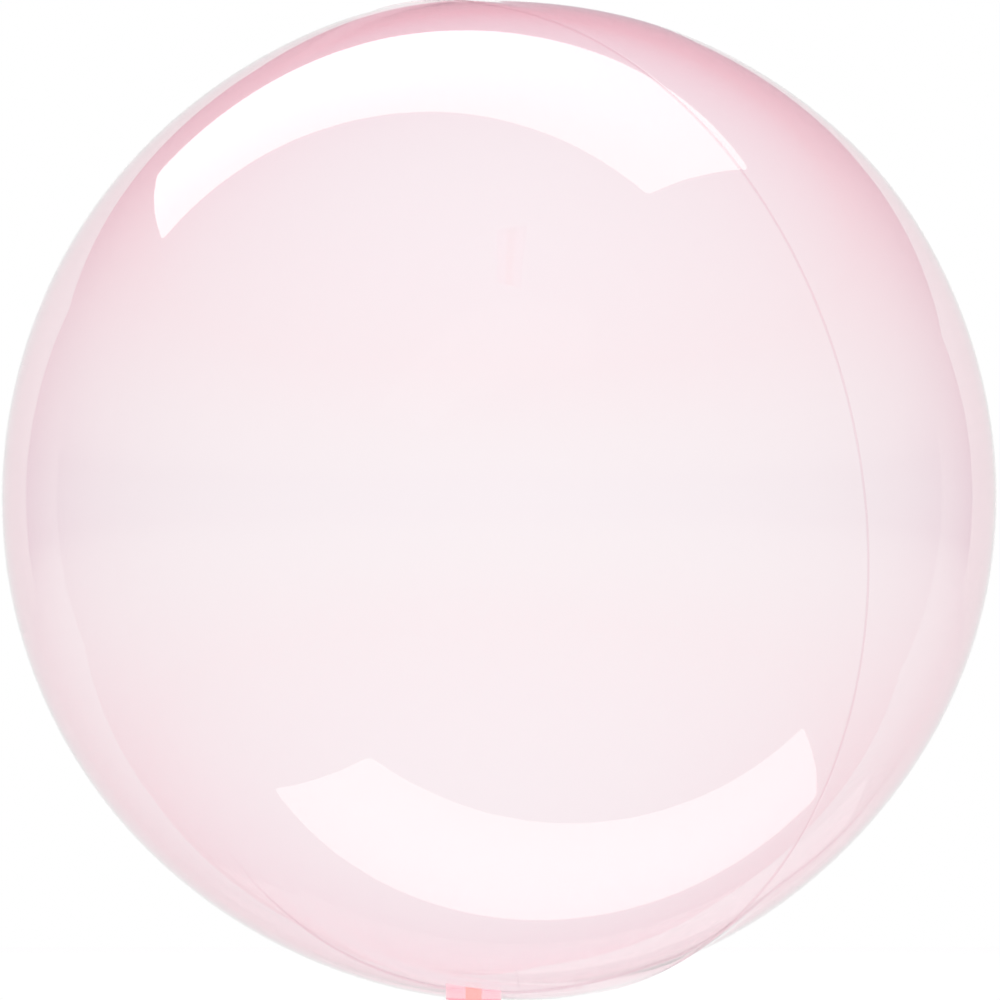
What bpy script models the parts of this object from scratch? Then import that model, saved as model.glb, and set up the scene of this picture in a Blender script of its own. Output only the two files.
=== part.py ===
"""Clear pink orb balloon, lying on a small flat spot with its inflation tail folded under it.

The envelope is two halves of plastic film welded round one seam. It is sealed, so its solid is full.
The tail is the flat sleeve that the balloon is filled through, and the valve strip runs along it.
Metres, +Z up. The origin is the middle of the rest spot, and the viewer looks along +Y.
"""
import math

import bmesh
import bpy
from mathutils import Matrix, Vector

# Driving dimensions
ENVELOPE_DIAMETER = 0.500
REST_SPOT_DIAMETER = 0.044
WELD_WIDTH = 0.0016
WELD_HEIGHT = 0.0005
TAIL_WIDTH = 0.0276
TAIL_LENGTH = 0.100
TAIL_END_SKEW = 0.0075
TAIL_THICKNESS = 0.0010
TAIL_OFFSET_X = -0.0124
VALVE_WIDTH = 0.0080
VALVE_THICKNESS = 0.0003
GAP = 0.0003

# The seam's axis: its heading from +X towards +Y, and its rise above the level
SEAM_AXIS_HEADING = math.radians(46.4)
SEAM_AXIS_RISE = math.radians(8.6)

# At the back the weld leaves its flat circle by this angle, between these turns round the axis
SEAM_DRIFT = math.radians(-8.4)
DRIFT_START = math.radians(90)
DRIFT_FULL = math.radians(125)
DRIFT_EASES = math.radians(150)
DRIFT_END = math.radians(250)

# Soft swells of the skin on its outline: (angle up from +X in the XZ plane, height, spread, half).
# Half -1 is the near left half of the film, and half 1 the far right one.
SWELLS = (
    (104, 0.0018, 10, -1),
    (168, -0.0009, 20, -1),
    (277, 0.0037, 18, -1),
    (39, 0.0013, 9, 1),
    (86, -0.0012, 9, 1),
    (318, -0.0015, 14, 1),
)
HALF_BLEND = math.radians(4)

# Mesh fineness
TURN_STEPS = 72
ROWS_PER_HALF = 20
TAIL_ROWS = 32
TAIL_COLUMNS = 7

# Steps of the searches along the skin and the weld, and where the weld passes under the envelope
EDGE_SAMPLES = 12
HEIGHT_ROUNDS = 6
WELD_ROUNDS = 40
WELD_UNDERNEATH = (math.radians(80), math.radians(130))
POCKET_STEP = 0.0005

ENVELOPE_RADIUS = ENVELOPE_DIAMETER / 2
REST_SPOT_RADIUS = REST_SPOT_DIAMETER / 2
MERGE_DISTANCE = 0.0001
CUTTER_DEPTH = 0.02

FILM_COLOUR = (0.93, 0.72, 0.78, 1.0)
TAIL_COLOUR = (0.90, 0.45, 0.52, 1.0)
VALVE_COLOUR = (0.92, 0.36, 0.34, 1.0)


def smooth_step(value, start, end):
    """Rise smoothly from 0 at start to 1 at end."""
    share = min(max((value - start) / (end - start), 0.0), 1.0)
    return share * share * (3 - 2 * share)


def seam_frame():
    """Return the seam's own axes: towards the viewer, down, and along the seam's axis."""
    level = math.cos(SEAM_AXIS_RISE)
    axis = Vector((
        level * math.cos(SEAM_AXIS_HEADING),
        level * math.sin(SEAM_AXIS_HEADING),
        math.sin(SEAM_AXIS_RISE),
    ))
    towards_viewer = Vector((0, -1, 0))
    front = (towards_viewer - towards_viewer.dot(axis) * axis).normalized()
    return front, axis.cross(front), axis


FRONT, DOWN, AXIS = seam_frame()


def seam_drift(turn):
    """Return how far the weld leaves its flat circle at a turn round the seam's axis."""
    turn = turn % math.tau
    rise = smooth_step(turn, DRIFT_START, DRIFT_FULL)
    fall = smooth_step(turn, DRIFT_EASES, DRIFT_END)
    return SEAM_DRIFT * rise * (1 - fall)


def direction_at(turn, latitude):
    """Return the direction of a point by its turn along the seam and its latitude from the weld."""
    latitude += seam_drift(turn) * math.cos(latitude) ** 2
    ring = math.cos(turn) * FRONT + math.sin(turn) * DOWN
    return math.cos(latitude) * ring + math.sin(latitude) * AXIS


def latitude_of(direction):
    """Return a direction's latitude from the weld, the reverse of direction_at."""
    turn = math.atan2(direction.dot(DOWN), direction.dot(FRONT))
    latitude = math.asin(max(-1.0, min(1.0, direction.dot(AXIS))))
    return latitude - seam_drift(turn) * math.cos(latitude) ** 2


def skin_radius(direction):
    """Return the envelope's radius in a direction, with its soft swells."""
    latitude = latitude_of(direction)
    radius = ENVELOPE_RADIUS
    for angle, height, spread, half in SWELLS:
        middle = Vector((math.cos(math.radians(angle)), 0, math.sin(math.radians(angle))))
        away = math.degrees(direction.angle(middle))
        if half < 0:
            share = 1 - smooth_step(latitude, 0, HALF_BLEND)
        else:
            share = smooth_step(latitude, 0, HALF_BLEND)
        radius += height * share * math.exp(-0.5 * (away / spread) ** 2)
    return radius


def centre_height():
    """Return the height of the envelope's centre, where the rest spot has its full diameter."""
    total = 0.0
    for sample in range(EDGE_SAMPLES):
        angle = math.tau * sample / EDGE_SAMPLES
        edge = Vector((REST_SPOT_RADIUS * math.cos(angle), REST_SPOT_RADIUS * math.sin(angle),
                       -ENVELOPE_RADIUS)).normalized()
        total += math.sqrt(skin_radius(edge) ** 2 - REST_SPOT_RADIUS ** 2)
    return total / EDGE_SAMPLES


CENTRE = Vector((0, 0, centre_height()))


def underside_height(x, y):
    """Return the height of the envelope's underside over a point of the floor."""
    height = CENTRE.z - math.sqrt(ENVELOPE_RADIUS ** 2 - x * x - y * y)
    for _ in range(HEIGHT_ROUNDS):
        radius = skin_radius(Vector((x, y, height - CENTRE.z)).normalized())
        height = CENTRE.z - math.sqrt(radius ** 2 - x * x - y * y)
    return height


def weld_y(x):
    """Return how far back the weld crosses under the envelope at a given x."""
    near, far = WELD_UNDERNEATH
    for _ in range(WELD_ROUNDS):
        turn = (near + far) / 2
        direction = direction_at(turn, 0)
        if (direction * skin_radius(direction)).x > x:
            near = turn
        else:
            far = turn
    direction = direction_at(near, 0)
    return (direction * skin_radius(direction)).y


TAIL_ROOT_CLEARANCE = WELD_WIDTH + GAP
TAIL_END_Y = weld_y(TAIL_OFFSET_X) - TAIL_ROOT_CLEARANCE - TAIL_LENGTH


def tail_end(x):
    """Return how far forward the tail reaches at a given x: its end is cut a little askew."""
    return TAIL_END_Y + TAIL_END_SKEW * (x - TAIL_OFFSET_X) / TAIL_WIDTH


def tail_top(x, y):
    """Return the height of the tail's upper face: flat under the rest spot, along the skin beyond it."""
    return max(TAIL_THICKNESS, underside_height(x, y) - GAP)


def collection(name):
    """Return a new collection in the scene."""
    made = bpy.data.collections.new(name)
    bpy.context.scene.collection.children.link(made)
    return made


def add_object(name, mesh, group, parent=None):
    """Return a new object of a mesh, in a collection and under a parent."""
    made = bpy.data.objects.new(name, mesh)
    group.objects.link(made)
    made.parent = parent
    return made


def plastic(name, colour, roughness, transmission):
    """Return a Principled material."""
    material = bpy.data.materials.new(name)
    material.use_nodes = True
    shader = material.node_tree.nodes["Principled BSDF"]
    shader.inputs["Base Color"].default_value = colour
    shader.inputs["Roughness"].default_value = roughness
    shader.inputs["Transmission Weight"].default_value = transmission
    return material


def envelope_profile():
    """Return the turned profile's points, (out from the axis, along it), with the weld's low bead."""
    points = []
    for row in range(ROWS_PER_HALF):
        latitude = math.pi / 2 * (1 - row / ROWS_PER_HALF)
        points.append((ENVELOPE_RADIUS * math.cos(latitude), ENVELOPE_RADIUS * math.sin(latitude)))
    points.append((ENVELOPE_RADIUS, WELD_WIDTH / 2))
    points.append((ENVELOPE_RADIUS + WELD_HEIGHT, WELD_WIDTH / 4))
    return points + [(out, -along) for out, along in reversed(points)]


def turned_mesh(name, profile, group):
    """Return the mesh of a profile turned once round Z by a Screw modifier."""
    outline = bpy.data.meshes.new(name)
    points = [(out, 0, along) for out, along in profile]
    edges = [(index, index + 1) for index in range(len(points) - 1)]
    outline.from_pydata(points, edges, [])
    lathe = add_object(name, outline, group)
    screw = lathe.modifiers.new("turn", "SCREW")
    screw.steps = screw.render_steps = TURN_STEPS
    screw.use_merge_vertices = True
    screw.merge_threshold = MERGE_DISTANCE
    bpy.context.view_layer.update()
    graph = bpy.context.evaluated_depsgraph_get()
    mesh = bpy.data.meshes.new_from_object(lathe.evaluated_get(graph))
    bpy.data.objects.remove(lathe)
    return mesh


def settle_on_seam(mesh):
    """Move a ball turned round Z so that its equator is the weld and its skin has the soft swells."""
    for vertex in mesh.vertices:
        place = vertex.co
        turn = math.atan2(place.y, place.x)
        latitude = math.asin(max(-1.0, min(1.0, place.z / place.length)))
        direction = direction_at(turn, latitude)
        bead = place.length / ENVELOPE_RADIUS
        vertex.co = CENTRE + direction * skin_radius(direction) * bead


def strip_solid(name, width, start_gap, end_gap, top_offset, thickness, columns):
    """Return the mesh of a strip that follows the tail's upper face from the weld to the free end."""
    solid = bmesh.new()
    bmesh.ops.create_grid(solid, x_segments=columns, y_segments=TAIL_ROWS, size=0.5)
    for vertex in solid.verts:
        x = TAIL_OFFSET_X + vertex.co.x * width
        root = weld_y(x) - TAIL_ROOT_CLEARANCE - start_gap
        end = tail_end(x) + end_gap
        y = end + (vertex.co.y + 0.5) * (root - end)
        vertex.co = Vector((x, y, tail_top(x, y) + top_offset))
    lower = bmesh.ops.extrude_face_region(solid, geom=solid.faces[:])["geom"]
    lower = [part for part in lower if isinstance(part, bmesh.types.BMVert)]
    bmesh.ops.translate(solid, verts=lower, vec=(0, 0, -thickness))
    bmesh.ops.recalc_face_normals(solid, faces=solid.faces[:])
    mesh = bpy.data.meshes.new(name)
    solid.to_mesh(mesh)
    solid.free()
    return mesh


def box_mesh(name, low, high):
    """Return the mesh of a box between two corners."""
    solid = bmesh.new()
    size = high - low
    place = Matrix.Translation((low + high) / 2) @ Matrix.Diagonal((*size, 1))
    bmesh.ops.create_cube(solid, size=1, matrix=place)
    mesh = bpy.data.meshes.new(name)
    solid.to_mesh(mesh)
    solid.free()
    return mesh


def cut(target, name, mesh, group, parent):
    """Cut a mesh out of an object with a Boolean modifier, and keep the mesh as a wire cutter."""
    cutter = add_object(name, mesh, group, parent)
    cutter.hide_render = True
    cutter.display_type = "WIRE"
    modifier = target.modifiers.new(name, "BOOLEAN")
    modifier.operation = "DIFFERENCE"
    modifier.solver = "EXACT"
    modifier.object = cutter


def pocket_reach(x, step):
    """Return how far the tail's pocket reaches at a given x, where the skin clears the tail."""
    y = 0.0
    while underside_height(x, y) < TAIL_THICKNESS + 2 * GAP:
        y += step
    return y


def make_envelope(parts, cutters, parent):
    """Make the sealed envelope, with its weld, its flat rest spot and the pocket over the tail."""
    mesh = turned_mesh("envelope", envelope_profile(), parts)
    settle_on_seam(mesh)
    mesh.shade_smooth()
    mesh.materials.clear()
    mesh.materials.append(plastic("film", FILM_COLOUR, 0.02, 1.0))
    envelope = add_object("envelope", mesh, parts, parent)
    reach = 2 * REST_SPOT_DIAMETER
    floor = box_mesh("floor_cut", Vector((-reach, -reach, -CUTTER_DEPTH)), Vector((reach, reach, 0)))
    cut(envelope, "floor_cut", floor, cutters, parent)
    left = TAIL_OFFSET_X - TAIL_WIDTH / 2 - GAP
    right = TAIL_OFFSET_X + TAIL_WIDTH / 2 + GAP
    front = min(pocket_reach(left, -POCKET_STEP), pocket_reach(right, -POCKET_STEP))
    back = max(pocket_reach(left, POCKET_STEP), pocket_reach(right, POCKET_STEP))
    pocket = box_mesh("tail_pocket", Vector((left, front, -CUTTER_DEPTH)),
                      Vector((right, back, TAIL_THICKNESS + GAP)))
    cut(envelope, "tail_pocket", pocket, cutters, parent)


def make_tail(parts, cutters, parent):
    """Make the flat inflation tail, with the channel that its valve strip lies in."""
    mesh = strip_solid("inflation_tail", TAIL_WIDTH, 0, 0, 0, TAIL_THICKNESS, TAIL_COLUMNS)
    mesh.materials.append(plastic("tail_film", TAIL_COLOUR, 0.15, 0.6))
    tail = add_object("inflation_tail", mesh, parts, parent)
    channel = strip_solid("valve_channel", VALVE_WIDTH + 2 * GAP, -GAP, -GAP, GAP,
                          VALVE_THICKNESS + 2 * GAP, 1)
    cut(tail, "valve_channel", channel, cutters, parent)


def make_valve(parts, parent):
    """Make the fill valve, a thin strip that lies flush in the tail."""
    mesh = strip_solid("fill_valve", VALVE_WIDTH, GAP, 0, 0, VALVE_THICKNESS, 1)
    mesh.materials.append(plastic("valve_film", VALVE_COLOUR, 0.2, 0.4))
    add_object("fill_valve", mesh, parts, parent)


def main():
    """Make the balloon in an emptied scene."""
    for old in list(bpy.data.objects):
        bpy.data.objects.remove(old)
    parts = collection("orb_balloon")
    cutters = collection("orb_balloon_cutters")
    balloon = bpy.data.objects.new("orb_balloon", None)
    parts.objects.link(balloon)
    make_envelope(parts, cutters, balloon)
    make_tail(parts, cutters, balloon)
    make_valve(parts, balloon)


main()
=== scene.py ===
import math

import bmesh
import bpy
from mathutils import Matrix, Vector, noise


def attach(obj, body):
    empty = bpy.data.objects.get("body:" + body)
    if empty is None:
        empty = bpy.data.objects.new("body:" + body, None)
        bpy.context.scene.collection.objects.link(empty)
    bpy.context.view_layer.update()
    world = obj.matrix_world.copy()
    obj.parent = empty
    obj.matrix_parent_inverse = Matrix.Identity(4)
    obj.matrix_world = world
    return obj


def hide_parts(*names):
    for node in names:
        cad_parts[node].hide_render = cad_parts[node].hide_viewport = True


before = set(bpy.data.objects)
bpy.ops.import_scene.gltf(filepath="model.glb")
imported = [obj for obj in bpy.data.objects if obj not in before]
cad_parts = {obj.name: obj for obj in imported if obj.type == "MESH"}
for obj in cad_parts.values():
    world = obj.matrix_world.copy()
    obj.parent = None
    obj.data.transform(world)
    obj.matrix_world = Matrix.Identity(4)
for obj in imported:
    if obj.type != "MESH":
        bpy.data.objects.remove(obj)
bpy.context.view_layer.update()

# The envelope's form, in metres, as the part's source has it
ENVELOPE_DIAMETER = 0.500
WELD_WIDTH = 0.0016
TAIL_WIDTH = 0.0276
TAIL_LENGTH = 0.100
TAIL_END_SKEW = 0.0075
TAIL_THICKNESS = 0.0010
TAIL_OFFSET_X = -0.0124
VALVE_WIDTH = 0.0080
VALVE_THICKNESS = 0.0003
GAP = 0.0003
SEAM_AXIS_HEADING = math.radians(46.4)
SEAM_AXIS_RISE = math.radians(8.6)
SEAM_DRIFT = math.radians(-8.4)
DRIFT_START = math.radians(90)
DRIFT_FULL = math.radians(125)
DRIFT_EASES = math.radians(150)
DRIFT_END = math.radians(250)

# Soft swells of the skin: angle up from +X, height, spread, half. Half -1 is the near left half of the
# film, and half 1 the far right one
SWELLS = (
    (104, 0.0018, 10, -1),
    (168, -0.0009, 20, -1),
    (277, 0.0037, 18, -1),
    (39, 0.0013, 9, 1),
    (86, -0.0012, 9, 1),
    (318, -0.0015, 14, 1),
)
HALF_BLEND = math.radians(4)
ENVELOPE_RADIUS = ENVELOPE_DIAMETER / 2
CENTRE = Vector((0, 0, 0.2524))
HEIGHT_ROUNDS = 6
WELD_ROUNDS = 40
WELD_UNDERNEATH = (math.radians(80), math.radians(130))

# The film: it lies this far inside the solid's faces, and is this thick
FILM_INSET = 0.00025
FILM_THICKNESS = 0.0004
FILM_TURNS = 360
LAST_ROW = 88.6
ROW_SPACING = 0.35
ROW_WIDENING = 1.1
ROWS_WIDEN = (0.5, 9)
REST_BLEND = 0.0006
POCKET_BLEND = (0.0002, 0.0025)
RIPPLE_HEIGHT = 0.00003
RIPPLE_SCALE = 5.0

# A fin has a width, a height above the film and a depth below it. The weld's is fainter round the back
WELD_FIN = (0.0011, 0.00045, 0.0011)
CREASE_FIN = (0.0010, 0.0009, 0.0003)
FIN_CORNERS = 8
WELD_STEPS = 1440
WELD_FAINT = 0.22
WELD_FADES = (math.radians(92), math.radians(112))
WELD_RETURNS = (math.radians(250), math.radians(268))

# Fine creases of the film, by points of the photograph: where each runs, its share of a fin, its density
OUTLINE_CENTRE = (498.4, 496.4)
OUTLINE_RADIUS = 498.4
LOWER_CREASE = (
    (205, 806), (262, 884), (325, 937), (380, 966), (443, 984.5),
    (475, 987), (506, 989.5), (530, 988.5), (560, 985), (600, 977),
    (650, 962), (691, 946), (765, 892), (848, 822), (924, 704),
)
SHORT_CREASE = ((515, 956), (516, 966), (518, 977), (520, 987))
CROWN_CREASE = ((426, 22), (446, 15), (472, 8.6), (500, 7.4), (530, 7.8))
CREASES = {
    "lower": (LOWER_CREASE, 1.0, 260),
    "short": (SHORT_CREASE, 0.4, 90),
    "crown": (CROWN_CREASE, 0.6, 15),
}
CREASE_STEPS = 24
CREASE_TAPER = 0.12
CREASE_TIP = 0.1

# The tail: thinner welded edges, and fine creases across it
TAIL_GRID = (44, 220)
SHARP_ANGLE = math.radians(35)
VALVE_GRID = (10, 160)
TAIL_MARGIN = 0.0026
TAIL_MARGIN_SHARE = 0.5
TAIL_END_WELD = 0.0030
TAIL_END_SINK = 0.0006
TAIL_CREASING = 0.12
TAIL_CREASE_SCALE = Vector((90, 150, 1))
TAIL_CLEARANCE = 0.00003
VALVE_SINK = 0.00015

# The looks of the films: tint, share that is see-through, absorption colour, its density, coat weight,
# index of refraction, and the fine waves of the surface: how many to a metre, and their strength
WHITE = (1, 1, 1)
CLEAR_LOOK = (WHITE, 1, (0.75, 0.3175, 0.43), 200, 1.0, 1.02, 30, 0.15)
WELD_LOOK = (WHITE, 1, (0.76, 0.36, 0.48), 180, 0.35, 1.02, 900, 0.5)
CREASE_LOOK = (WHITE, 1, (0.72, 0.36, 0.48))
TAIL_LOOK = ((1, 0.84, 0.87), 0.8, (0.97, 0.41, 0.52), 66, 0.15, 1.0, 300, 0.4)
VALVE_LOOK = ((1, 0.60, 0.52), 0.65, (0.99, 0.64, 0.56), 150, 0.0, 1.0, 300, 0.4)
WAVE_HEIGHT = 0.0002
COAT_INDEX = 1.5

# The studio: radiances, and the room's colour by height above the horizon
FLOOR_REACH = 30.0
FLOOR_LIGHT = 1.016
FLOOR_FADE = (0.6, 4.0)
BACKDROP_BEHIND = 1.18
BACKDROP_TOP = ((-1.19, 0.77), (-0.38, 0.92), (-0.05, 0.81), (0.01, 0.66), (0.13, 0.65), (0.22, 0.76),
                (0.6, 0.80), (1.19, 0.68))
BACKDROP_LIGHT = 1.0
SOFTBOX_PLACE = Vector((-0.158, 0.443, 1.11))
SOFTBOX_TURNS = (math.radians(-23.7), math.radians(-4.6), math.radians(-9.2))
SOFTBOX_SIZE = (2.13, 0.755)
SOFTBOX_LIGHT = 2.3
SOFTBOX_EDGE = 0.85
SOFTBOX_FADE = (0.2, 1.3)
SOFTBOX_CORNER = 0.035
CORNER_STEPS = 6
ROOM_LIGHT = (
    (0.0, (0.76, 0.67, 0.74)),
    (0.25, (0.80, 0.56, 0.63)),
    (0.5, (0.92, 0.33, 0.46)),
    (0.75, (0.93, 0.44, 0.63)),
    (1.0, (0.94, 0.66, 0.85)),
)
NEAR_ROOM_GAIN = 1.23

# The camera: level and far away, like the photograph's long lens
CAMERA_PLACE = Vector((0.0008, -10.0, 0.2506))
CAMERA_FILL = 500 / 498.4
SENSOR_WIDTH = 36.0


def smooth_step(value, start, end):
    """Rise smoothly from 0 at start to 1 at end."""
    share = min(max((value - start) / (end - start), 0.0), 1.0)
    return share * share * (3 - 2 * share)


def seam_frame():
    """Return the seam's own axes: towards the viewer, down, and along the seam's axis."""
    level = math.cos(SEAM_AXIS_RISE)
    axis = Vector((
        level * math.cos(SEAM_AXIS_HEADING),
        level * math.sin(SEAM_AXIS_HEADING),
        math.sin(SEAM_AXIS_RISE),
    ))
    towards_viewer = Vector((0, -1, 0))
    front = (towards_viewer - towards_viewer.dot(axis) * axis).normalized()
    return front, axis.cross(front), axis


FRONT, DOWN, AXIS = seam_frame()


def seam_drift(turn):
    """Return how far the weld leaves its flat circle at a turn round the seam's axis."""
    turn = turn % math.tau
    rise = smooth_step(turn, DRIFT_START, DRIFT_FULL)
    fall = smooth_step(turn, DRIFT_EASES, DRIFT_END)
    return SEAM_DRIFT * rise * (1 - fall)


def direction_at(turn, latitude):
    """Return the direction of a point by its turn along the seam and its latitude from the weld."""
    latitude += seam_drift(turn) * math.cos(latitude) ** 2
    ring = math.cos(turn) * FRONT + math.sin(turn) * DOWN
    return math.cos(latitude) * ring + math.sin(latitude) * AXIS


def latitude_of(direction):
    """Return a direction's latitude from the weld, the reverse of direction_at."""
    turn = math.atan2(direction.dot(DOWN), direction.dot(FRONT))
    latitude = math.asin(max(-1.0, min(1.0, direction.dot(AXIS))))
    return latitude - seam_drift(turn) * math.cos(latitude) ** 2


def skin_radius(direction):
    """Return the envelope's radius in a direction, with its soft swells."""
    latitude = latitude_of(direction)
    radius = ENVELOPE_RADIUS
    for angle, height, spread, half in SWELLS:
        middle = Vector((math.cos(math.radians(angle)), 0, math.sin(math.radians(angle))))
        away = math.degrees(direction.angle(middle))
        if half < 0:
            share = 1 - smooth_step(latitude, 0, HALF_BLEND)
        else:
            share = smooth_step(latitude, 0, HALF_BLEND)
        radius += height * share * math.exp(-0.5 * (away / spread) ** 2)
    return radius


def underside_height(x, y):
    """Return the height of the envelope's underside over a point of the floor."""
    height = CENTRE.z - math.sqrt(ENVELOPE_RADIUS ** 2 - x * x - y * y)
    for _ in range(HEIGHT_ROUNDS):
        radius = skin_radius(Vector((x, y, height - CENTRE.z)).normalized())
        height = CENTRE.z - math.sqrt(radius ** 2 - x * x - y * y)
    return height


def weld_y(x):
    """Return how far back the weld crosses under the envelope at a given x."""
    near, far = WELD_UNDERNEATH
    for _ in range(WELD_ROUNDS):
        turn = (near + far) / 2
        direction = direction_at(turn, 0)
        if (direction * skin_radius(direction)).x > x:
            near = turn
        else:
            far = turn
    direction = direction_at(near, 0)
    return (direction * skin_radius(direction)).y


TAIL_ROOT_CLEARANCE = WELD_WIDTH + GAP
TAIL_END_Y = weld_y(TAIL_OFFSET_X) - TAIL_ROOT_CLEARANCE - TAIL_LENGTH


def tail_end(x):
    """Return how far forward the tail reaches at a given x: its end is cut a little askew."""
    return TAIL_END_Y + TAIL_END_SKEW * (x - TAIL_OFFSET_X) / TAIL_WIDTH


def tail_top(x, y):
    """Return the height of the tail's upper face: flat under the rest spot, then along the skin."""
    return max(TAIL_THICKNESS, underside_height(x, y) - GAP)


def add_object(name, mesh, material, smooth=True):
    """Return a new object of a mesh, with its material."""
    if smooth:
        mesh.shade_smooth()
    mesh.materials.append(material)
    made = bpy.data.objects.new(name, mesh)
    bpy.context.scene.collection.objects.link(made)
    return made


def grid_faces(rows, columns, closed_columns, start=0, flip=False):
    """Return the faces of a grid of points, which may close on itself across its columns."""
    faces = []
    for row in range(rows - 1):
        for column in range(columns if closed_columns else columns - 1):
            beside = (column + 1) % columns
            face = [start + row * columns + column, start + row * columns + beside,
                    start + (row + 1) * columns + beside, start + (row + 1) * columns + column]
            faces.append(face[::-1] if flip else face)
    return faces


def film_latitudes():
    """Return the rows of the film's mesh by latitude, closer together beside the weld."""
    rows = []
    latitude = 0.0
    while latitude < LAST_ROW:
        rows.append(latitude)
        latitude += ROW_SPACING + ROW_WIDENING * smooth_step(latitude, *ROWS_WIDEN)
    half = [math.radians(row) for row in rows]
    return [-row for row in reversed(half[1:])] + half


def settle(place):
    """Return a point of the film set on the floor, with the rest spot flattened and the tail cleared."""
    height = (place.z + math.sqrt(place.z ** 2 + REST_BLEND ** 2)) / 2
    across = abs(place.x - TAIL_OFFSET_X) - TAIL_WIDTH / 2
    lift = (TAIL_THICKNESS + GAP) * (1 - smooth_step(across, *POCKET_BLEND))
    return Vector((place.x, place.y, max(height, lift)))


def film_point(turn, latitude, depth):
    """Return a point of the film at a depth below its outer face."""
    direction = direction_at(turn, latitude)
    ripple = RIPPLE_HEIGHT * noise.noise(direction * RIPPLE_SCALE)
    outer = CENTRE + direction * (skin_radius(direction) - FILM_INSET + ripple)
    return settle(outer) - direction * depth


def film_mesh():
    """Return the film's mesh: a closed shell with an outer and an inner face."""
    latitudes = film_latitudes()
    turns = [math.tau * step / FILM_TURNS for step in range(FILM_TURNS)]
    points = []
    faces = []
    for depth, flip in ((0, False), (FILM_THICKNESS, True)):
        start = len(points)
        for latitude in latitudes:
            points += [film_point(turn, latitude, depth) for turn in turns]
        faces += grid_faces(len(latitudes), FILM_TURNS, True, start, flip)
        last = start + (len(latitudes) - 1) * FILM_TURNS
        for ring, latitude, turned in ((start, -math.pi / 2, flip), (last, math.pi / 2, not flip)):
            pole = len(points)
            points.append(film_point(0, latitude, depth))
            for step in range(FILM_TURNS):
                face = [pole, ring + (step + 1) % FILM_TURNS, ring + step]
                faces.append(face[::-1] if turned else face)
    mesh = bpy.data.meshes.new("film_shell")
    mesh.from_pydata(points, [], faces)
    return mesh


def face_outwards(mesh):
    """Turn a closed mesh's faces outwards."""
    solid = bmesh.new()
    solid.from_mesh(mesh)
    bmesh.ops.recalc_face_normals(solid, faces=solid.faces[:])
    solid.to_mesh(mesh)
    solid.free()


def film_material(name, tint, clear_share, colour, density, coat, ior, waves, strength):
    """Return a clear film: nearly no bending of light, a gloss coat, and colour from its thickness."""
    material = bpy.data.materials.new(name)
    material.use_nodes = True
    nodes = material.node_tree.nodes
    links = material.node_tree.links
    shader = nodes["Principled BSDF"]
    shader.inputs["Base Color"].default_value = (*tint, 1)
    shader.inputs["Roughness"].default_value = 0
    shader.inputs["IOR"].default_value = ior
    shader.inputs["Transmission Weight"].default_value = clear_share
    shader.inputs["Coat Weight"].default_value = coat
    shader.inputs["Coat Roughness"].default_value = 0
    shader.inputs["Coat IOR"].default_value = COAT_INDEX
    absorption = nodes.new("ShaderNodeVolumeAbsorption")
    absorption.inputs["Color"].default_value = (*colour, 1)
    absorption.inputs["Density"].default_value = density
    links.new(absorption.outputs["Volume"], nodes["Material Output"].inputs["Volume"])
    place = nodes.new("ShaderNodeTexCoord")
    wave = nodes.new("ShaderNodeTexNoise")
    wave.inputs["Scale"].default_value = waves
    bump = nodes.new("ShaderNodeBump")
    bump.inputs["Strength"].default_value = strength
    bump.inputs["Distance"].default_value = WAVE_HEIGHT
    links.new(place.outputs["Object"], wave.inputs["Vector"])
    links.new(wave.outputs["Fac"], bump.inputs["Height"])
    links.new(bump.outputs["Normal"], shader.inputs["Normal"])
    links.new(bump.outputs["Normal"], shader.inputs["Coat Normal"])
    return material


def fin_mesh(name, line, shares, size, closed):
    """Return a fine fin through the film, along a line of directions, at a share of full size at each."""
    points = []
    width, height, depth = size
    count = len(line)
    for step, direction in enumerate(line):
        before = line[step - 1] if closed or step else direction
        after = line[(step + 1) % count] if closed or step < count - 1 else direction
        across = direction.cross(after - before).normalized() * width / 2
        base = CENTRE + direction * (skin_radius(direction) - FILM_INSET)
        for corner in range(FIN_CORNERS):
            angle = math.tau * corner / FIN_CORNERS
            out = (height - depth) / 2 + math.sin(angle) * (height + depth) / 2
            points.append(base + (across * math.cos(angle) + direction * out) * shares[step])
    faces = grid_faces(count, FIN_CORNERS, True)
    last = (count - 1) * FIN_CORNERS
    if closed:
        for corner in range(FIN_CORNERS):
            beside = (corner + 1) % FIN_CORNERS
            faces.append([last + corner, last + beside, beside, corner])
    else:
        faces.append(list(range(FIN_CORNERS)))
        faces.append([last + corner for corner in range(FIN_CORNERS)])
    mesh = bpy.data.meshes.new(name)
    mesh.from_pydata(points, [], faces)
    face_outwards(mesh)
    return mesh


def weld_mesh():
    """Return the weld's mesh: a fin all round the seam, fainter round the back."""
    turns = [math.tau * step / WELD_STEPS for step in range(WELD_STEPS)]
    shares = []
    for turn in turns:
        faint = smooth_step(turn, *WELD_FADES) * (1 - smooth_step(turn, *WELD_RETURNS))
        shares.append(1 - (1 - WELD_FAINT) * faint)
    return fin_mesh("weld_seam", [direction_at(turn, 0) for turn in turns], shares, WELD_FIN, True)


def seen_at(pixel):
    """Return the direction of the near point of the film that the photograph shows at a pixel."""
    across = (pixel[0] - OUTLINE_CENTRE[0]) * ENVELOPE_RADIUS / OUTLINE_RADIUS
    up = (OUTLINE_CENTRE[1] - pixel[1]) * ENVELOPE_RADIUS / OUTLINE_RADIUS
    radius = ENVELOPE_RADIUS
    for _ in range(HEIGHT_ROUNDS):
        near = math.sqrt(max(0, radius ** 2 - across ** 2 - up ** 2))
        direction = Vector((across, -near, up)).normalized()
        radius = skin_radius(direction)
    return direction


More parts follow.
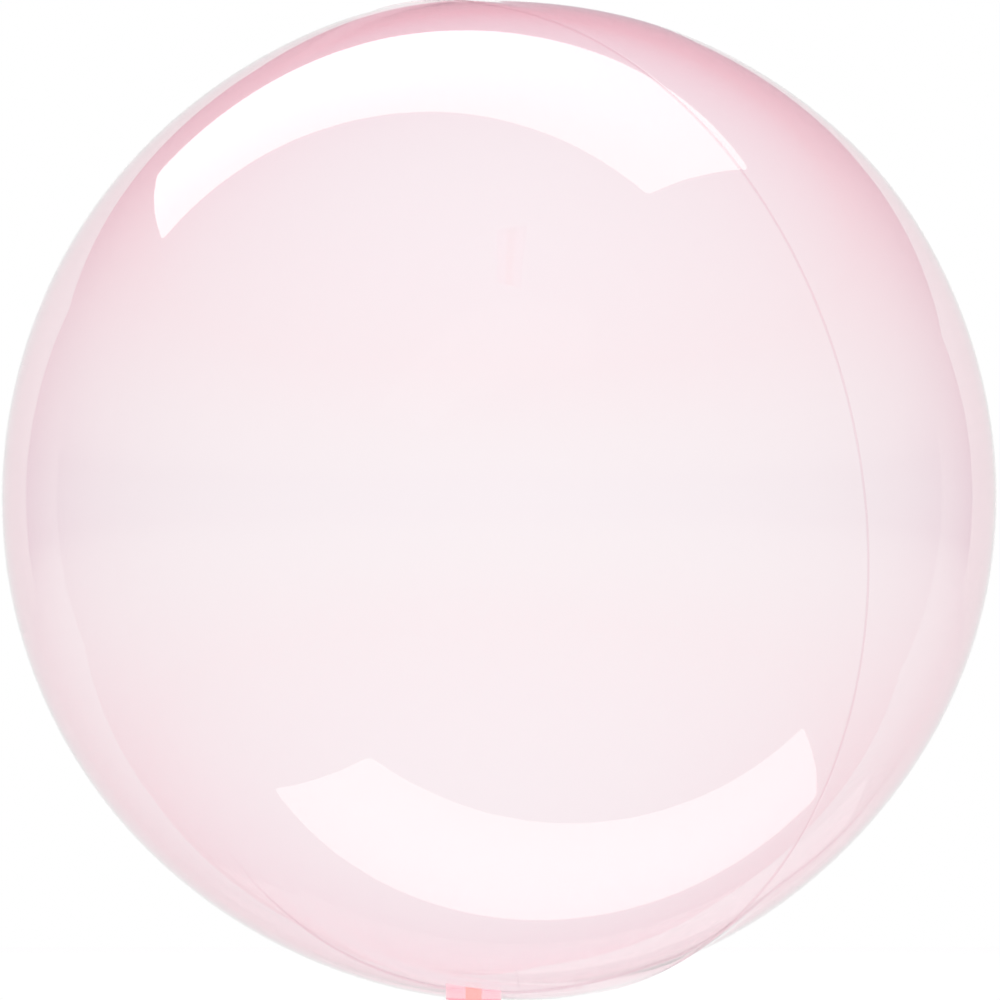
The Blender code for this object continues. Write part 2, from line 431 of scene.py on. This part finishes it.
def smooth_line(knots):
    """Return a smooth line of directions through a few of them."""
    line = []
    padded = [knots[0], *knots, knots[-1]]
    for first, second, third, fourth in zip(padded, padded[1:], padded[2:], padded[3:]):
        for step in range(CREASE_STEPS):
            share = step / CREASE_STEPS
            line.append((2 * second + (third - first) * share
                         + (2 * first - 5 * second + 4 * third - fourth) * share ** 2
                         + (3 * second - first - 3 * third + fourth) * share ** 3).normalized())
    return line + [knots[-1]]


def crease_mesh(name, pixels, size):
    """Return the mesh of one fine crease, which tapers to a tenth of its size at both ends."""
    line = smooth_line([seen_at(pixel) for pixel in pixels])
    shares = []
    for step in range(len(line)):
        along = step / (len(line) - 1)
        shares.append(size * max(CREASE_TIP, smooth_step(min(along, 1 - along), 0, CREASE_TAPER)))
    return fin_mesh(name, line, shares, CREASE_FIN, False)


def tail_share(x, y):
    """Return the tail's thickness as a share of its full one: thin welded edges, and fine creases."""
    inwards = TAIL_WIDTH / 2 - abs(x - TAIL_OFFSET_X)
    pillow = TAIL_MARGIN_SHARE + (1 - TAIL_MARGIN_SHARE) * smooth_step(inwards, 0, TAIL_MARGIN)
    crease = noise.noise(Vector((x, y, 0)) * TAIL_CREASE_SCALE)
    return pillow * (1 - TAIL_CREASING * abs(crease)) - TAIL_CLEARANCE / TAIL_THICKNESS


def even_share(x, y):
    """Return the valve strip's thickness as a share of its full one: the same all over."""
    return 1


def end_sink(x, y):
    """Return how far the tail's upper face sinks towards its thin, welded free end."""
    return TAIL_END_SINK * (1 - smooth_step(y - tail_end(x), 0, TAIL_END_WELD))


def strip_mesh(name, width, start_gap, sink, thickness, share_at, grid):
    """Return a strip that follows the tail's upper face from the weld to the free end."""
    solid = bmesh.new()
    bmesh.ops.create_grid(solid, x_segments=grid[0], y_segments=grid[1], size=0.5)
    for vertex in solid.verts:
        x = TAIL_OFFSET_X + vertex.co.x * width
        root = weld_y(x) - TAIL_ROOT_CLEARANCE - start_gap
        end = tail_end(x)
        y = end + (vertex.co.y + 0.5) * (root - end)
        vertex.co = Vector((x, y, tail_top(x, y) - max(sink, end_sink(x, y))))
    lower = bmesh.ops.extrude_face_region(solid, geom=solid.faces[:])["geom"]
    for part in lower:
        if isinstance(part, bmesh.types.BMVert):
            x = part.co.x
            y = part.co.y
            part.co.z -= max(thickness * share_at(x, y) - end_sink(x, y), TAIL_CLEARANCE)
    bmesh.ops.recalc_face_normals(solid, faces=solid.faces[:])
    mesh = bpy.data.meshes.new(name)
    solid.to_mesh(mesh)
    solid.free()
    mesh.shade_smooth()
    mesh.set_sharp_from_angle(angle=SHARP_ANGLE)
    return mesh


def stage_material(name, strength, one_sided=False):
    """Return an evenly lit white for the stage, which may show on its front face alone."""
    material = bpy.data.materials.new(name)
    material.use_nodes = True
    nodes = material.node_tree.nodes
    links = material.node_tree.links
    nodes.clear()
    output = nodes.new("ShaderNodeOutputMaterial")
    emission = nodes.new("ShaderNodeEmission")
    emission.inputs["Color"].default_value = (1, 1, 1, 1)
    emission.inputs["Strength"].default_value = strength
    if one_sided:
        side = nodes.new("ShaderNodeNewGeometry")
        clear = nodes.new("ShaderNodeBsdfTransparent")
        either = nodes.new("ShaderNodeMixShader")
        links.new(side.outputs["Backfacing"], either.inputs[0])
        links.new(emission.outputs[0], either.inputs[1])
        links.new(clear.outputs[0], either.inputs[2])
        links.new(either.outputs[0], output.inputs["Surface"])
    else:
        links.new(emission.outputs[0], output.inputs["Surface"])
    return material


def floor_material():
    """Return the floor's look: lit white near the balloon, and as pale as the room far away."""
    material = stage_material("floor", 1)
    nodes = material.node_tree.nodes
    links = material.node_tree.links
    place = nodes.new("ShaderNodeTexCoord")
    distance = nodes.new("ShaderNodeVectorMath")
    distance.operation = "LENGTH"
    fade = nodes.new("ShaderNodeMapRange")
    fade.interpolation_type = "SMOOTHSTEP"
    fade.inputs["From Min"].default_value = FLOOR_FADE[0]
    fade.inputs["From Max"].default_value = FLOOR_FADE[1]
    colour = nodes.new("ShaderNodeMix")
    colour.data_type = "RGBA"
    colour.inputs["A"].default_value = (FLOOR_LIGHT, FLOOR_LIGHT, FLOOR_LIGHT, 1)
    near = nodes.new("ShaderNodeVectorMath")
    near.operation = "NORMALIZE"
    split = nodes.new("ShaderNodeSeparateXYZ")
    side = nodes.new("ShaderNodeMapRange")
    side.inputs["From Min"].default_value = 0
    side.inputs["From Max"].default_value = -1
    room = nodes.new("ShaderNodeMix")
    room.data_type = "RGBA"
    room.inputs["A"].default_value = (*ROOM_LIGHT[0][1], 1)
    room.inputs["B"].default_value = (*(NEAR_ROOM_GAIN * channel for channel in ROOM_LIGHT[0][1]), 1)
    links.new(place.outputs["Object"], near.inputs[0])
    links.new(near.outputs["Vector"], split.inputs[0])
    links.new(split.outputs["Y"], side.inputs["Value"])
    links.new(side.outputs["Result"], room.inputs["Factor"])
    links.new(room.outputs["Result"], colour.inputs["B"])
    links.new(place.outputs["Object"], distance.inputs[0])
    links.new(distance.outputs["Value"], fade.inputs["Value"])
    links.new(fade.outputs["Result"], colour.inputs["Factor"])
    links.new(colour.outputs["Result"], nodes["Emission"].inputs["Color"])
    return material


def softbox_material():
    """Return the softbox's look: brightest in its middle."""
    material = stage_material("softbox", SOFTBOX_LIGHT, True)
    nodes = material.node_tree.nodes
    links = material.node_tree.links
    place = nodes.new("ShaderNodeTexCoord")
    distance = nodes.new("ShaderNodeVectorMath")
    distance.operation = "LENGTH"
    centred = nodes.new("ShaderNodeMapping")
    centred.inputs["Location"].default_value = (-1, -1, 0)
    centred.inputs["Scale"].default_value = (2, 2, 0)
    fade = nodes.new("ShaderNodeMapRange")
    fade.interpolation_type = "SMOOTHSTEP"
    fade.inputs["From Min"].default_value = SOFTBOX_FADE[0]
    fade.inputs["From Max"].default_value = SOFTBOX_FADE[1]
    fade.inputs["To Min"].default_value = SOFTBOX_LIGHT
    fade.inputs["To Max"].default_value = SOFTBOX_LIGHT * SOFTBOX_EDGE
    links.new(place.outputs["Generated"], centred.inputs["Vector"])
    links.new(centred.outputs["Vector"], distance.inputs[0])
    links.new(distance.outputs["Value"], fade.inputs["Value"])
    links.new(fade.outputs["Result"], nodes["Emission"].inputs["Strength"])
    return material


def add_piece(name, mesh, material, replaced=None, smooth=True):
    """Add and return one piece, which rides on its body and may stand for a node of the frame."""
    piece = add_object(name, mesh, material, smooth)
    piece.visible_shadow = False
    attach(piece, "root")
    if replaced:
        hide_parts(replaced)
    return piece


def make_balloon():
    """Make the balloon's pieces, each riding on the one body."""
    clear = film_material("clear_film", *CLEAR_LOOK)
    add_piece("film_shell", film_mesh(), clear, "envelope")
    welded = film_material("welded_film", *WELD_LOOK)
    add_piece("weld_seam", weld_mesh(), welded)
    for place, (pixels, size, density) in CREASES.items():
        name = "crease_" + place
        look = film_material(name, *CREASE_LOOK, density, *WELD_LOOK[4:])
        add_piece(name, crease_mesh(name, pixels, size), look)
    sleeve = strip_mesh("tail_sleeve", TAIL_WIDTH, 0, 0, TAIL_THICKNESS, tail_share, TAIL_GRID)
    look = film_material("tail_film", *TAIL_LOOK)
    tail = add_piece("tail_sleeve", sleeve, look, "inflation_tail", False)
    strip = strip_mesh(
        "valve_strip", VALVE_WIDTH, GAP, VALVE_SINK, VALVE_THICKNESS, even_share, VALVE_GRID
    )
    look = film_material("valve_film", *VALVE_LOOK)
    valve = add_piece("valve_strip", strip, look, "fill_valve", False)
    for piece in (tail, valve):
        piece.visible_glossy = False


def make_world():
    """Make the room's light: pale at the horizon, pinker above it, pale again overhead."""
    world = bpy.data.worlds.new("studio")
    bpy.context.scene.world = world
    world.use_nodes = True
    nodes = world.node_tree.nodes
    links = world.node_tree.links
    place = nodes.new("ShaderNodeTexCoord")
    split = nodes.new("ShaderNodeSeparateXYZ")
    ramp = nodes.new("ShaderNodeValToRGB")
    links.new(place.outputs["Generated"], split.inputs[0])
    links.new(split.outputs["Z"], ramp.inputs[0])
    stops = ramp.color_ramp.elements
    while len(stops) < len(ROOM_LIGHT):
        stops.new(1)
    for stop, (height, colour) in zip(stops, ROOM_LIGHT):
        stop.position = height
        stop.color = (*colour, 1)
    nearness = nodes.new("ShaderNodeMapRange")
    nearness.inputs["From Min"].default_value = 0
    nearness.inputs["From Max"].default_value = -1
    nearness.inputs["To Min"].default_value = 1
    nearness.inputs["To Max"].default_value = NEAR_ROOM_GAIN
    links.new(split.outputs["Y"], nearness.inputs["Value"])
    background = nodes["Background"]
    links.new(ramp.outputs["Color"], background.inputs["Color"])
    links.new(nearness.outputs["Result"], background.inputs["Strength"])


def softbox_rim():
    """Return the softbox's corners, rounded, in the order that faces it downwards."""
    rim = []
    half_x, half_y = (size / 2 - SOFTBOX_CORNER for size in SOFTBOX_SIZE)
    for side_x, side_y, start in ((-1, -1, 270), (-1, 1, 180), (1, 1, 90), (1, -1, 0)):
        for step in range(CORNER_STEPS + 1):
            angle = math.radians(start - 90 * step / CORNER_STEPS)
            rim.append((side_x * half_x + SOFTBOX_CORNER * math.cos(angle),
                        side_y * half_y + SOFTBOX_CORNER * math.sin(angle), 0))
    return rim


def make_studio():
    """Make the white studio: floor, lit backdrop, softbox and the pale room."""
    floor = bpy.data.meshes.new("floor")
    side = FLOOR_REACH
    corners = [(-side, -side, 0), (side, -side, 0), (side, side, 0), (-side, side, 0)]
    floor.from_pydata(corners, [], [(0, 1, 2, 3)])
    add_object("floor", floor, floor_material(), False)
    backdrop = bpy.data.meshes.new("backdrop")
    left, right = BACKDROP_TOP[0][0], BACKDROP_TOP[-1][0]
    rim = [(left, BACKDROP_BEHIND, 0), (right, BACKDROP_BEHIND, 0)]
    rim += [(across, BACKDROP_BEHIND, high) for across, high in reversed(BACKDROP_TOP)]
    backdrop.from_pydata(rim, [], [tuple(range(len(rim)))])
    add_object("backdrop", backdrop, stage_material("backdrop", BACKDROP_LIGHT, True), False)
    heading, pitch, roll = SOFTBOX_TURNS
    turned = Matrix.Rotation(heading, 4, "Z")
    turned = turned @ Matrix.Rotation(roll, 4, "Y") @ Matrix.Rotation(pitch, 4, "X")
    placed = Matrix.Translation(CENTRE + SOFTBOX_PLACE) @ turned
    panel = bpy.data.meshes.new("softbox")
    rim = softbox_rim()
    panel.from_pydata(rim, [], [tuple(range(len(rim)))])
    softbox = add_object("softbox", panel, softbox_material(), False)
    softbox.matrix_world = placed
    softbox.visible_camera = False
    make_world()


def make_camera():
    """Make the camera, level with the balloon's middle."""
    camera = bpy.data.cameras.new("camera")
    camera.sensor_width = SENSOR_WIDTH
    distance = abs(CAMERA_PLACE.y)
    reach = math.tan(math.asin((ENVELOPE_RADIUS - FILM_INSET) / distance))
    camera.lens = SENSOR_WIDTH / 2 / (reach * CAMERA_FILL)
    made = bpy.data.objects.new("camera", camera)
    bpy.context.scene.collection.objects.link(made)
    made.location = CAMERA_PLACE
    made.rotation_euler = (math.radians(90), 0, 0)
    bpy.context.scene.camera = made


make_balloon()
make_studio()
make_camera()
bpy.context.scene.view_settings.view_transform = "Standard"
bpy.context.view_layer.update()
